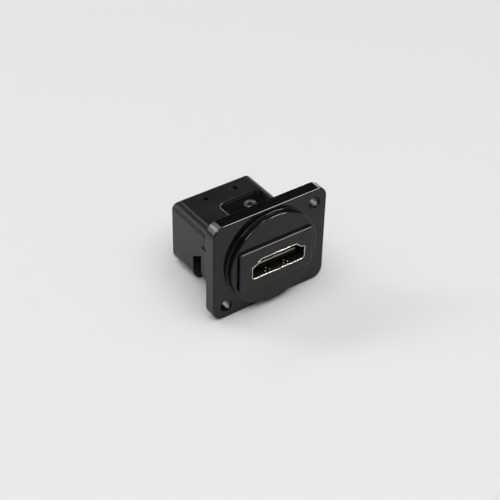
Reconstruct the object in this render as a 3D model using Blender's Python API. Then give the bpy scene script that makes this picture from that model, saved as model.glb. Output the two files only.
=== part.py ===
"""Panel feed-through socket for a digital video plug.

A square-cornered flange with a round front disc, a rectangular bezel let into the disc, and a
moulded housing behind it.  Two receptacles stand back to back on a small board inside.
X runs along the flange's long side, Y runs from front to back, Z is up.  The part stands level
on the lower edge of the flange and the floor of the housing.
"""

import math

import bmesh
import bpy

MM = 0.001

# Flange and disc
FLANGE_WIDTH = 31.0 * MM
FLANGE_HEIGHT = 26.0 * MM
FLANGE_THICKNESS = 3.1 * MM
FLANGE_CORNER = 2.8 * MM
FLANGE_EDGE = 0.35 * MM
FLANGE_REAR_EDGE = 0.1 * MM
HOLE_SPACING_X = 24.0 * MM
HOLE_SPACING_Z = 19.0 * MM
HOLE_DIAMETER = 3.2 * MM
DISC_DIAMETER = 23.7 * MM
DISC_HEIGHT = 1.75 * MM
DISC_EDGE = 0.3 * MM

# Bezel in the disc
BEZEL_WIDTH = 20.1 * MM
BEZEL_HEIGHT = 10.5 * MM
BEZEL_STAND = 0.8 * MM
BEZEL_POCKET = 3.4 * MM
BEZEL_CORNER = 0.6 * MM
BEZEL_EDGE = 0.3 * MM
BEZEL_GAP = 0.15 * MM

# Body behind the flange, and the rear housing that continues it
BODY_WIDTH = 22.3 * MM
BODY_HEIGHT = 17.6 * MM
BODY_TOP_CORNER = 2.0 * MM
BODY_LOWER_CORNER = 3.3 * MM
FRAME_DEPTH = 7.3 * MM
FRAME_LOWER_DEPTH = 8.3 * MM
FRAME_UNDERCUT = 3.9 * MM
FRAME_WALL = 1.5 * MM
TAB_PROUD = 0.4 * MM
TAB_SET_BACK = 0.35 * MM
TAB_UNDERCUT = 4.8 * MM
TAB_CORNER = 1.3 * MM
HOUSING_REAR = 24.0 * MM
HOUSING_WALL = 1.2 * MM
HOUSING_EDGE = 0.4 * MM
SEAM = 0.12 * MM
LOWER_SEAM_HEIGHT = 0.2 * MM
RELIEF_REAR = 15.0 * MM
RELIEF_TOP = 5.4 * MM
RELIEF_RISE = 2.2 * MM
SPIGOT_WALL = 0.9 * MM
SPIGOT_LENGTH = 0.7 * MM
SPIGOT_DROP = 7.0 * MM

# Strap of the frame that lies in a recess of the housing
STRAP_WIDTH = 11.5 * MM
STRAP_OFFSET = 3.1 * MM
STRAP_REAR = 17.05 * MM
STRAP_CORNER = 1.7 * MM
STRAP_THICKNESS = 0.7 * MM
STRAP_STEP = 0.4 * MM
STRAP_SEAT = 0.7 * MM
STRAP_GAP = 0.12 * MM

# Screw through the strap
SCREW_X = 3.7 * MM
SCREW_Y = 13.3 * MM
SCREW_HEAD = 3.2 * MM
SCREW_HEAD_HEIGHT = 0.55 * MM
SCREW_SHANK = 1.5 * MM
SCREW_LENGTH = 2.4 * MM
SCREW_SOCKET = 1.5 * MM
SCREW_SOCKET_DEPTH = 0.4 * MM
SCREW_GAP = 0.1 * MM
BOSS_DIAMETER = 2.9 * MM
BOSS_DEPTH = 1.3 * MM

# Two small holes in the top of the housing
VENT_DIAMETER = 1.3 * MM
VENT_SPACING = 8.2 * MM
VENT_OFFSET = 0.4 * MM
VENT_FROM_REAR = 3.35 * MM

# Receptacle profile, wide side down
PORT_WIDTH = 14.4 * MM
PORT_HEIGHT = 4.85 * MM
PORT_SIDE_TOP = 3.2 * MM
PORT_SHOULDER_WIDTH = 12.0 * MM
PORT_SHOULDER_HEIGHT = 3.7 * MM
PORT_NARROW_WIDTH = 9.7 * MM
PORT_CORNER = 0.7 * MM
PORT_X = 0.5 * MM
PORT_DROP = 0.2 * MM
SHELL_WALL = 0.3 * MM
SHELL_PROUD = 0.1 * MM
SHELL_FLARE = 0.12 * MM
SHELL_GAP = 0.15 * MM
REAR_PORT_DROP = 4.2 * MM
ROOF_GAP = 0.155 * MM
LEG_WIDTH = 1.4 * MM

# Spring fingers cut from the receptacle shells
FINGER_WIDTH = 1.3 * MM
FINGER_SPACING = 5.1 * MM
FINGER_SLOT = 0.3 * MM
FINGER_FIRST = 0.75 * MM
FINGER_LENGTH = 4.6 * MM
FINGER_BEND = 0.45 * MM
FINGER_THICKNESS = 0.22 * MM

# Insulators and their contacts
TONGUE_WIDTH = 10.2 * MM
TONGUE_THICKNESS = 1.5 * MM
TONGUE_RISE = 0.17 * MM
TONGUE_SET_BACK = 0.75 * MM
TONGUE_EDGE = 0.25 * MM
CAVITY_DEPTH = 8.0 * MM
INSULATOR_GAP = 0.08 * MM
CONTACT_PITCH = 1.0 * MM
CONTACTS_WIDE_SIDE = 10
CONTACTS_NARROW_SIDE = 9
CONTACT_WIDTH = 0.4 * MM
CONTACT_THICKNESS = 0.2 * MM
CONTACT_GAP = 0.05 * MM
CONTACT_SET_BACK = 1.0 * MM
TAIL_LENGTH = 0.4 * MM

# Board that joins the two receptacles
BOARD_FRONT = 11.5 * MM
BOARD_THICKNESS = 1.2 * MM
BOARD_GAP = 0.15 * MM
BOARD_FLOOR_GAP = 0.85 * MM
BOARD_HOLE_GAP = 0.1 * MM
LEDGE_WIDTH = 1.6 * MM

# Curve fineness
CORNER_STEPS = 6
DISC_STEPS = 96
HOLE_STEPS = 28
OVERLAP = 0.2 * MM
THROUGH = 1.0 * MM

# Levels and places that follow from the sizes above
CAVITY_TOP = PORT_HEIGHT / 2 - PORT_DROP + SHELL_WALL + ROOF_GAP
SEAT_LEVEL = CAVITY_TOP + STRAP_SEAT
STRAP_BOTTOM = SEAT_LEVEL + STRAP_GAP
STRAP_TOP = STRAP_BOTTOM + STRAP_THICKNESS
BODY_TOP = STRAP_TOP + STRAP_STEP
BODY_BOTTOM = BODY_TOP - BODY_HEIGHT
STANDING_LEVEL = min(-FLANGE_HEIGHT / 2, BODY_BOTTOM)
FRAME_BOTTOM = BODY_BOTTOM + FRAME_UNDERCUT
TAB_BOTTOM = BODY_BOTTOM + TAB_UNDERCUT
FRAME_REAR = FLANGE_THICKNESS + FRAME_DEPTH
FRAME_LOWER_REAR = FLANGE_THICKNESS + FRAME_LOWER_DEPTH
BEZEL_FACE = -DISC_HEIGHT - BEZEL_STAND
FRONT_MOUTH = BEZEL_FACE - SHELL_PROUD
REAR_MOUTH = HOUSING_REAR + SHELL_PROUD
BOARD_REAR = BOARD_FRONT + BOARD_THICKNESS
CAVITY_HALF_WIDTH = BODY_WIDTH / 2 - HOUSING_WALL
CAVITY_BOTTOM = BODY_BOTTOM + HOUSING_WALL
SCREW_TIP = STRAP_TOP - SCREW_LENGTH
FRONT_PORT = (PORT_X, -PORT_DROP)
REAR_PORT = (0.0, -REAR_PORT_DROP)


def clear_scene():
    for item in list(bpy.data.objects):
        bpy.data.objects.remove(item)


def make_material(name, colour, roughness, metallic=0.0):
    material = bpy.data.materials.new(name)
    material.use_nodes = True
    shader = material.node_tree.nodes["Principled BSDF"]
    shader.inputs["Base Color"].default_value = (*colour, 1.0)
    shader.inputs["Roughness"].default_value = roughness
    shader.inputs["Metallic"].default_value = metallic
    material.diffuse_color = (*colour, 1.0)
    return material


def finish_mesh(name, bm, parent, material=None):
    """Turn a bmesh into a named object under the assembly's empty."""
    bmesh.ops.recalc_face_normals(bm, faces=bm.faces)
    mesh = bpy.data.meshes.new(name)
    bm.to_mesh(mesh)
    bm.free()
    body = bpy.data.objects.new(name, mesh)
    bpy.context.collection.objects.link(body)
    body.parent = parent
    if material:
        mesh.materials.append(material)
        mesh.shade_smooth()
        mesh.set_sharp_from_angle(angle=math.radians(35))
    return body


def arc(centre_x, centre_z, radius, start, end, steps):
    points = []
    for step in range(steps + 1):
        angle = math.radians(start + (end - start) * step / steps)
        points.append((centre_x + radius * math.cos(angle), centre_z + radius * math.sin(angle)))
    return points


def circle(centre_x, centre_z, diameter, steps):
    return arc(centre_x, centre_z, diameter / 2, 0, 360, steps)[:-1]


def rectangle(left, right, bottom, top, radius=0.0, lower=None):
    """Outline of a rectangle whose corners are arcs, the lower two with a radius of their own."""
    if radius <= 0:
        return [(right, top), (left, top), (left, bottom), (right, bottom)]
    lower = lower or radius
    points = arc(right - radius, top - radius, radius, 0, 90, CORNER_STEPS)
    points += arc(left + radius, top - radius, radius, 90, 180, CORNER_STEPS)
    points += arc(left + lower, bottom + lower, lower, 180, 270, CORNER_STEPS)
    points += arc(right - lower, bottom + lower, lower, 270, 360, CORNER_STEPS)
    return points


def centred_rectangle(width, height, radius=0.0, x=0.0, z=0.0):
    return rectangle(x - width / 2, x + width / 2, z - height / 2, z + height / 2, radius)


def grown(points, distance):
    """Move every side of an anticlockwise outline outwards by one distance."""
    result = []
    count = len(points)
    for index, (x, z) in enumerate(points):
        before = points[index - 1]
        after = points[(index + 1) % count]
        first = math.atan2(z - before[1], x - before[0])
        second = math.atan2(after[1] - z, after[0] - x)
        turn = math.remainder(second - first, math.tau)
        middle = first + turn / 2 - math.pi / 2
        reach = distance / math.cos(turn / 2)
        result.append((x + reach * math.cos(middle), z + reach * math.sin(middle)))
    return result


def port_outline(grow=0.0, centre=(0.0, 0.0)):
    """Opening of the receptacle: a wide floor, two shoulders and a narrower roof."""
    half = PORT_WIDTH / 2
    floor = -PORT_HEIGHT / 2
    roof = PORT_HEIGHT / 2
    side_top = floor + PORT_SIDE_TOP
    shoulder = floor + PORT_SHOULDER_HEIGHT
    right = arc(half - PORT_CORNER, floor + PORT_CORNER, PORT_CORNER, -90, 0, 4)
    right += [(half, side_top), (PORT_SHOULDER_WIDTH / 2, shoulder), (PORT_NARROW_WIDTH / 2, roof)]
    points = right + [(-x, z) for x, z in reversed(right)]
    return [(x + centre[0], z + centre[1]) for x, z in grown(points, grow)]


def extrude_outline(bm, outline, front, rear):
    """Solid between two depths, with the outline's faces joined by its sides."""
    ring = [bm.verts.new((x, front, z)) for x, z in outline]
    face = bm.faces.new(ring)
    moved = bmesh.ops.extrude_face_region(bm, geom=[face])["geom"]
    verts = [item for item in moved if isinstance(item, bmesh.types.BMVert)]
    bmesh.ops.translate(bm, verts=verts, vec=(0.0, rear - front, 0.0))


def round_rim(bm, depth, size, segments=2):
    """Round the edges that lie in one plane across the Y axis."""
    near = 1e-7
    rim = [edge for edge in bm.edges if all(abs(vert.co.y - depth) < near for vert in edge.verts)]
    bmesh.ops.bevel(bm, geom=rim, offset=size, segments=segments, profile=0.5, affect="EDGES")


def prism(name, outline, front, rear, parent, material=None, front_edge=0.0, rear_edge=0.0):
    bm = bmesh.new()
    extrude_outline(bm, outline, front, rear)
    if front_edge:
        round_rim(bm, front, front_edge)
    if rear_edge:
        round_rim(bm, rear, rear_edge)
    return finish_mesh(name, bm, parent, material)


def add_box(bm, left, right, front, rear, bottom, top):
    """Add one box to a bmesh by its six limits."""
    extrude_outline(bm, rectangle(left, right, bottom, top), front, rear)


def sleeve(name, rings, parent, material=None):
    """Closed tube: the rings run along the outside and come back along the inside."""
    bm = bmesh.new()
    loops = [[bm.verts.new((x, depth, z)) for x, z in outline] for outline, depth in rings]
    for first, second in zip(loops, loops[1:] + loops[:1]):
        for index in range(len(first)):
            after = (index + 1) % len(first)
            bm.faces.new((first[index], first[after], second[after], second[index]))
    return finish_mesh(name, bm, parent, material)


def upright(name, outline, bottom, top, parent, top_edge=0.0):
    """Solid that stands along Z on an outline given as X and Y."""
    bm = bmesh.new()
    ring = [bm.verts.new((x, y, bottom)) for x, y in outline]
    face = bm.faces.new(ring)
    moved = bmesh.ops.extrude_face_region(bm, geom=[face])["geom"]
    verts = [item for item in moved if isinstance(item, bmesh.types.BMVert)]
    bmesh.ops.translate(bm, verts=verts, vec=(0.0, 0.0, top - bottom))
    if top_edge:
        rim = [edge for edge in bm.edges if all(abs(v.co.z - top) < 1e-7 for v in edge.verts)]
        bmesh.ops.bevel(bm, geom=rim, offset=top_edge, segments=2, profile=0.5, affect="EDGES")
    return finish_mesh(name, bm, parent)


def boolean(target, tool, operation):
    """Join or cut with a tool object, which stays out of the model itself."""
    modifier = target.modifiers.new(tool.name, "BOOLEAN")
    modifier.operation = operation
    modifier.object = tool
    modifier.solver = "EXACT"
    tool.hide_render = True
    tool.display_type = "WIRE"


def join(target, tool):
    boolean(target, tool, "UNION")


def cut(target, tool):
    boolean(target, tool, "DIFFERENCE")


def fixing_holes(parent):
    """The two screw holes, top right and bottom left, as one cutting tool."""
    bm = bmesh.new()
    for side in (1, -1):
        centre = (side * HOLE_SPACING_X / 2, side * HOLE_SPACING_Z / 2)
        outline = circle(*centre, HOLE_DIAMETER, HOLE_STEPS)
        extrude_outline(bm, outline, -THROUGH, FRAME_LOWER_REAR + THROUGH)
    return finish_mesh("tool_fixing_holes", bm, parent)


def strap_outline(gap, front):
    """Plan of the strap: square at the flange, round corners at the free end."""
    left = STRAP_OFFSET - STRAP_WIDTH / 2 - gap
    right = STRAP_OFFSET + STRAP_WIDTH / 2 + gap
    rear = STRAP_REAR + gap
    radius = STRAP_CORNER + gap
    points = [(left, front), (right, front)]
    points += arc(right - radius, rear - radius, radius, 0, 90, CORNER_STEPS)
    points += arc(left + radius, rear - radius, radius, 90, 180, CORNER_STEPS)
    return points


def side_tab(name, left, right, parent):
    """Raised pad on one side of the body, with its lower rear corner rounded."""
    front = FLANGE_THICKNESS - OVERLAP
    top = -LOWER_SEAM_HEIGHT
    points = [(front, top), (front, TAB_BOTTOM)]
    rear = FRAME_LOWER_REAR - TAB_SET_BACK
    points += arc(rear - TAB_CORNER, TAB_BOTTOM + TAB_CORNER, TAB_CORNER, 270, 360, CORNER_STEPS)
    points.append((rear, top))
    bm = bmesh.new()
    add_profile(bm, points, left, right)
    return finish_mesh(name, bm, parent)


def build_flange_frame(parent, material):
    """Flange, disc, body stub, spigot and strap: one moulding."""
    outline = centred_rectangle(FLANGE_WIDTH, FLANGE_HEIGHT, FLANGE_CORNER)
    frame = prism("flange_frame", outline, 0.0, FLANGE_THICKNESS, parent, material,
                  front_edge=FLANGE_EDGE, rear_edge=FLANGE_REAR_EDGE)
    disc = prism("tool_disc", circle(0.0, 0.0, DISC_DIAMETER, DISC_STEPS), -DISC_HEIGHT,
                 FLANGE_THICKNESS / 2, parent, front_edge=DISC_EDGE)
    join(frame, disc)

    half = BODY_WIDTH / 2
    seated = FLANGE_THICKNESS - OVERLAP
    stub = rectangle(-half, half, FRAME_BOTTOM, BODY_TOP, BODY_TOP_CORNER, BODY_LOWER_CORNER)
    join(frame, prism("tool_stub", stub, seated, FRAME_REAR, parent))
    lower = [(x, min(z, -LOWER_SEAM_HEIGHT)) for x, z in stub if z < 0]
    lower = [(half, -LOWER_SEAM_HEIGHT), (-half, -LOWER_SEAM_HEIGHT)] + lower
    join(frame, prism("tool_lower_stub", lower, FRAME_REAR - OVERLAP, FRAME_LOWER_REAR, parent))
    join(frame, side_tab("tool_tab_left", -half - TAB_PROUD, -half + OVERLAP, parent))
    join(frame, side_tab("tool_tab_right", half - OVERLAP, half + TAB_PROUD, parent))

    spigot_half = CAVITY_HALF_WIDTH - SEAM
    spigot_top = CAVITY_TOP - SEAM
    spigot = rectangle(-spigot_half, spigot_half, spigot_top - SPIGOT_DROP, spigot_top)
    join(frame, prism("tool_spigot", spigot, FRAME_REAR - OVERLAP, FRAME_REAR + SPIGOT_LENGTH,
                      parent))

    hollow_half = spigot_half - SPIGOT_WALL
    hollow = rectangle(-hollow_half, hollow_half, FRAME_BOTTOM + FRAME_WALL, BODY_TOP - FRAME_WALL)
    cut(frame, prism("tool_hollow", hollow, FLANGE_THICKNESS, FRAME_LOWER_REAR + THROUGH, parent))

    join(frame, upright("tool_strap", strap_outline(0.0, FRAME_REAR - THROUGH), STRAP_BOTTOM,
                        STRAP_TOP, parent))
    pocket = centred_rectangle(BEZEL_WIDTH + 2 * BEZEL_GAP, BEZEL_HEIGHT + 2 * BEZEL_GAP,
                               BEZEL_CORNER + BEZEL_GAP)
    pocket_floor = BEZEL_POCKET - DISC_HEIGHT
    cut(frame, prism("tool_pocket", pocket, BEZEL_FACE - THROUGH, pocket_floor, parent))
    window = port_outline(SHELL_WALL + SHELL_GAP, FRONT_PORT)
    window_rear = FRAME_REAR + SPIGOT_LENGTH + THROUGH
    cut(frame, prism("tool_front_window", window, 0.0, window_rear, parent))
    cut(frame, fixing_holes(parent))
    hole = [(x, y) for x, y in circle(SCREW_X, SCREW_Y, SCREW_SHANK + 2 * SCREW_GAP, HOLE_STEPS)]
    cut(frame, upright("tool_strap_hole", hole, STRAP_BOTTOM - THROUGH, STRAP_TOP + THROUGH, parent))
    return frame


def build_bezel(parent, material):
    """Block let into the disc, with the port's opening through it."""
    outline = centred_rectangle(BEZEL_WIDTH, BEZEL_HEIGHT, BEZEL_CORNER)
    rear = BEZEL_POCKET - DISC_HEIGHT - BEZEL_GAP
    bezel = prism("front_bezel", outline, BEZEL_FACE, rear, parent, material,
                  front_edge=BEZEL_EDGE)
    window = port_outline(SHELL_WALL + SHELL_GAP / 2, FRONT_PORT)
    cut(bezel, prism("tool_bezel_window", window, BEZEL_FACE - THROUGH, rear + THROUGH, parent))
    return bezel


def relief_tool(parent):
    """Removes the lower front of the housing's walls, with a sloping upper edge."""
    half = BODY_WIDTH / 2 + THROUGH
    front = FRAME_REAR - THROUGH
    low = BODY_BOTTOM - THROUGH
    side = [(front, low), (RELIEF_REAR, low), (RELIEF_REAR, -RELIEF_TOP),
            (FRAME_LOWER_REAR + SEAM, -RELIEF_TOP + RELIEF_RISE),
            (FRAME_LOWER_REAR + SEAM, -LOWER_SEAM_HEIGHT + SEAM),
            (front, -LOWER_SEAM_HEIGHT + SEAM)]
    bm = bmesh.new()
    ring = [bm.verts.new((-half, y, z)) for y, z in side]
    face = bm.faces.new(ring)
    moved = bmesh.ops.extrude_face_region(bm, geom=[face])["geom"]
    verts = [item for item in moved if isinstance(item, bmesh.types.BMVert)]
    bmesh.ops.translate(bm, verts=verts, vec=(2 * half, 0.0, 0.0))
    return finish_mesh("tool_relief", bm, parent)


def build_rear_housing(parent, material):
    """Cup behind the frame, with the strap's recess, the rear port and the board's ledges."""
    half = BODY_WIDTH / 2
    front = FRAME_REAR + SEAM
    outline = rectangle(-half, half, BODY_BOTTOM, BODY_TOP, BODY_TOP_CORNER, BODY_LOWER_CORNER)
    housing = prism("rear_housing", outline, front, HOUSING_REAR, parent, material,
                    rear_edge=HOUSING_EDGE)
    inner = HOUSING_REAR - HOUSING_WALL
    cavity = rectangle(-CAVITY_HALF_WIDTH, CAVITY_HALF_WIDTH, CAVITY_BOTTOM, CAVITY_TOP)
    cut(housing, prism("tool_cavity", cavity, front - THROUGH, inner, parent))

    ledge_front = BOARD_REAR + BOARD_GAP
    for side in (-1, 1):
        edges = sorted((side * (CAVITY_HALF_WIDTH - LEDGE_WIDTH),
                        side * (CAVITY_HALF_WIDTH + OVERLAP)))
        ledge = rectangle(*edges, CAVITY_BOTTOM - OVERLAP, CAVITY_TOP + OVERLAP)
        name = "tool_ledge_right" if side > 0 else "tool_ledge_left"
        join(housing, prism(name, ledge, ledge_front, inner + OVERLAP, parent))
    boss = circle(SCREW_X, SCREW_Y, BOSS_DIAMETER, HOLE_STEPS)
    join(housing, upright("tool_boss", boss, CAVITY_TOP - BOSS_DEPTH, CAVITY_TOP + OVERLAP, parent))

    cut(housing, relief_tool(parent))
    recess = strap_outline(STRAP_GAP, front - THROUGH)
    cut(housing, upright("tool_recess", recess, SEAT_LEVEL, BODY_TOP + THROUGH, parent))
    bore = circle(SCREW_X, SCREW_Y, SCREW_SHANK + 2 * SCREW_GAP, HOLE_STEPS)
    cut(housing, upright("tool_boss_bore", bore, SCREW_TIP - SCREW_GAP, BODY_TOP, parent))
    for side in (-1, 1):
        name = "tool_vent_right" if side > 0 else "tool_vent_left"
        x = VENT_OFFSET + side * VENT_SPACING / 2
        vent = circle(x, HOUSING_REAR - VENT_FROM_REAR, VENT_DIAMETER, HOLE_STEPS // 2)
        cut(housing, upright(name, vent, CAVITY_TOP - THROUGH, BODY_TOP + THROUGH, parent))
    window = port_outline(SHELL_WALL + SHELL_GAP, REAR_PORT)
    cut(housing, prism("tool_rear_window", window, BOARD_REAR, HOUSING_REAR + THROUGH, parent))
    return housing


def build_screw(parent, material):
    """Pan-head screw through the strap into the housing's boss."""
    seat = STRAP_TOP + SCREW_GAP
    head = circle(SCREW_X, SCREW_Y, SCREW_HEAD, HOLE_STEPS)
    screw = upright("strap_screw", head, seat, seat + SCREW_HEAD_HEIGHT, parent,
                    top_edge=SCREW_HEAD_HEIGHT / 3)
    screw.data.materials.append(material)
    screw.data.shade_smooth()
    screw.data.set_sharp_from_angle(angle=math.radians(35))
    shank = circle(SCREW_X, SCREW_Y, SCREW_SHANK, HOLE_STEPS)
    join(screw, upright("tool_shank", shank, SCREW_TIP, seat + OVERLAP, parent))
    socket = circle(SCREW_X, SCREW_Y, SCREW_SOCKET, 6)
    top = seat + SCREW_HEAD_HEIGHT
    cut(screw, upright("tool_socket", socket, top - SCREW_SOCKET_DEPTH, top + THROUGH, parent))
    return screw


class Receptacle:
    """One of the two receptacles: its mouth, the board's face, and the way between them."""

    def __init__(self, name, centre, mouth, board_face, far_face):
        self.name = name
        self.centre = centre
        self.mouth = mouth
        self.inward = 1 if board_face > mouth else -1
        self.back = board_face - self.inward * BOARD_GAP
        self.far_face = far_face

    def depth(self, distance):
        """World depth at a distance behind the mouth."""
        return self.mouth + self.inward * distance

    def length(self):
        return abs(self.back - self.mouth)

    def contact_places(self):
        """Each contact's X place and the side of the tongue that it lies on."""
        places = []
        for side, count in ((-1, CONTACTS_WIDE_SIDE), (1, CONTACTS_NARROW_SIDE)):
            for index in range(count):
                places.append((self.centre[0] + (index - (count - 1) / 2) * CONTACT_PITCH, side))
        return places

    def tongue_face(self, side):
        return self.centre[1] + TONGUE_RISE + side * TONGUE_THICKNESS / 2


def add_profile(bm, points, left, right):
    """Solid along X from a side outline given as Y and Z."""
    ring = [bm.verts.new((left, y, z)) for y, z in points]
    face = bm.faces.new(ring)
    moved = bmesh.ops.extrude_face_region(bm, geom=[face])["geom"]
    verts = [item for item in moved if isinstance(item, bmesh.types.BMVert)]
    bmesh.ops.translate(bm, verts=verts, vec=(right - left, 0.0, 0.0))


def finger_profile(unit, side):
    """Side view of one spring finger, from its root in the wall to its bent tip."""
    wall = unit.centre[1] + side * (PORT_HEIGHT + SHELL_WALL) / 2
    first = FINGER_FIRST
    last = FINGER_FIRST + FINGER_LENGTH
    path = [(first, 0.1), (first + 0.35 * MM, 0.75), (first + 0.7 * MM, 1.0),
            (first + 1.1 * MM, 0.8), (last - 0.3 * MM, 0.0), (last + 0.5 * MM, 0.0)]
    half = FINGER_THICKNESS / 2
    middle = [(unit.depth(along), wall - side * share * FINGER_BEND) for along, share in path]
    outer = [(y, z + half) for y, z in middle]
    inner = [(y, z - half) for y, z in reversed(middle)]
    return outer + inner


def build_shell(unit, parent, material):
    """Folded metal sleeve of a receptacle, with spring fingers and two legs for the board."""
    inner = port_outline(0.0, unit.centre)
    outer = port_outline(SHELL_WALL, unit.centre)
    flared = port_outline(SHELL_FLARE, unit.centre)
    rings = [(outer, unit.mouth), (outer, unit.back), (inner, unit.back),
             (inner, unit.depth(2 * SHELL_WALL)), (flared, unit.mouth)]
    shell = sleeve(unit.name + "_shell", rings, parent, material)

    slots = bmesh.new()
    fingers = []
    for side in (-1, 1):
        wall = unit.centre[1] + side * (PORT_HEIGHT + SHELL_WALL) / 2
        for hand in (-1, 1):
            x = unit.centre[0] + hand * FINGER_SPACING / 2
            reach = FINGER_WIDTH / 2 + FINGER_SLOT
            ends = sorted((unit.depth(FINGER_FIRST - FINGER_SLOT),
                           unit.depth(FINGER_FIRST + FINGER_LENGTH)))
            add_box(slots, x - reach, x + reach, *ends, wall - SHELL_WALL, wall + SHELL_WALL)
            fingers.append((x, finger_profile(unit, side)))
    cut(shell, finish_mesh("tool_slots_" + unit.name, slots, parent))
    for index, (x, profile) in enumerate(fingers):
        bm = bmesh.new()
        add_profile(bm, profile, x - FINGER_WIDTH / 2, x + FINGER_WIDTH / 2)
        join(shell, finish_mesh(f"tool_finger_{unit.name}_{index}", bm, parent))

    end = unit.far_face + unit.inward * TAIL_LENGTH
    for hand in (-1, 1):
        x = unit.centre[0] + hand * (PORT_WIDTH + SHELL_WALL) / 2
        thin = SHELL_WALL * 0.4
        low = unit.centre[1] - PORT_HEIGHT / 2 + PORT_CORNER
        bm = bmesh.new()
        ends = sorted((unit.back - unit.inward * THROUGH, end))
        add_box(bm, x - thin, x + thin, *ends, low, low + LEG_WIDTH)
        join(shell, finish_mesh(f"tool_leg_{unit.name}_{'left' if hand < 0 else 'right'}", bm,
                                parent))
    return shell


def build_insulator(unit, parent, material):
    """Base plug of a receptacle and the tongue that carries the contacts."""
    base = port_outline(-INSULATOR_GAP, unit.centre)
    ends = sorted((unit.depth(CAVITY_DEPTH), unit.back))
    insulator = prism(unit.name + "_insulator", base, *ends, parent, material)
    half = TONGUE_WIDTH / 2
    bottom = unit.tongue_face(-1)
    top = unit.tongue_face(1)
    tip = unit.depth(TONGUE_SET_BACK)
    root = unit.depth(CAVITY_DEPTH + OVERLAP)
    bevelled = unit.depth(TONGUE_SET_BACK + TONGUE_EDGE)
    side_view = [(tip, bottom + TONGUE_EDGE), (bevelled, bottom), (root, bottom), (root, top),
                 (bevelled, top), (tip, top - TONGUE_EDGE)]
    bm = bmesh.new()
    add_profile(bm, side_view, unit.centre[0] - half, unit.centre[0] + half)
    join(insulator, finish_mesh("tool_tongue_" + unit.name, bm, parent))

    grooves = bmesh.new()
    reach = CONTACT_WIDTH / 2 + CONTACT_GAP
    ends = sorted((unit.depth(TONGUE_SET_BACK + CONTACT_SET_BACK - CONTACT_GAP),
                   unit.back + unit.inward * THROUGH))
    for x, side in unit.contact_places():
        face = unit.tongue_face(side)
        levels = sorted((face + side * CONTACT_GAP,
                         face - side * (CONTACT_THICKNESS + 2 * CONTACT_GAP)))
        add_box(grooves, x - reach, x + reach, *ends, *levels)
    cut(insulator, finish_mesh("tool_grooves_" + unit.name, grooves, parent))
    return insulator


def build_contacts(unit, parent, material):
    """Nineteen flat contacts that run from the tongue through the base to the board."""
    meshes = {}
    for side in (-1, 1):
        outer = unit.tongue_face(side) - side * CONTACT_GAP
        inner = outer - side * CONTACT_THICKNESS
        tip = unit.depth(TONGUE_SET_BACK + CONTACT_SET_BACK)
        bevelled = unit.depth(TONGUE_SET_BACK + CONTACT_SET_BACK + CONTACT_THICKNESS)
        end = unit.far_face + unit.inward * TAIL_LENGTH
        points = [(tip, inner), (tip, inner + side * CONTACT_THICKNESS / 3), (bevelled, outer),
                  (end, outer), (end, inner)]
        bm = bmesh.new()
        add_profile(bm, points, -CONTACT_WIDTH / 2, CONTACT_WIDTH / 2)
        bmesh.ops.recalc_face_normals(bm, faces=bm.faces)
        mesh = bpy.data.meshes.new(f"{unit.name}_contact_{'wide' if side < 0 else 'narrow'}")
        bm.to_mesh(mesh)
        bm.free()
        mesh.materials.append(material)
        meshes[side] = mesh
    for number, (x, side) in enumerate(unit.contact_places(), start=1):
        contact = bpy.data.objects.new(f"{unit.name}_contact_{number:02d}", meshes[side])
        bpy.context.collection.objects.link(contact)
        contact.parent = parent
        contact.location.x = x


def build_board(units, parent, material):
    """Board across the housing, pierced for every contact and shell leg."""
    half = CAVITY_HALF_WIDTH - BOARD_GAP
    outline = rectangle(-half, half, CAVITY_BOTTOM + BOARD_FLOOR_GAP, CAVITY_TOP - BOARD_GAP)
    board = prism("link_board", outline, BOARD_FRONT, BOARD_REAR, parent, material)
    holes = bmesh.new()
    ends = (BOARD_FRONT - THROUGH, BOARD_REAR + THROUGH)
    for unit in units:
        for x, side in unit.contact_places():
            middle = unit.tongue_face(side) - side * (CONTACT_GAP + CONTACT_THICKNESS / 2)
            wide = CONTACT_WIDTH / 2 + BOARD_HOLE_GAP
            tall = CONTACT_THICKNESS / 2 + BOARD_HOLE_GAP
            add_box(holes, x - wide, x + wide, *ends, middle - tall, middle + tall)
        low = unit.centre[1] - PORT_HEIGHT / 2 + PORT_CORNER
        for hand in (-1, 1):
            x = unit.centre[0] + hand * (PORT_WIDTH + SHELL_WALL) / 2
            wide = SHELL_WALL / 2 + BOARD_HOLE_GAP
            add_box(holes, x - wide, x + wide, *ends, low - BOARD_HOLE_GAP,
                    low + LEG_WIDTH + BOARD_HOLE_GAP)
    cut(board, finish_mesh("tool_board_holes", holes, parent))
    reach = BOSS_DIAMETER / 2 + BOARD_GAP
    bm = bmesh.new()
    add_box(bm, SCREW_X - reach, SCREW_X + reach, *ends,
            CAVITY_TOP - BOSS_DEPTH - BOARD_GAP, CAVITY_TOP + THROUGH)
    cut(board, finish_mesh("tool_board_notch", bm, parent))
    return board


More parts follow.
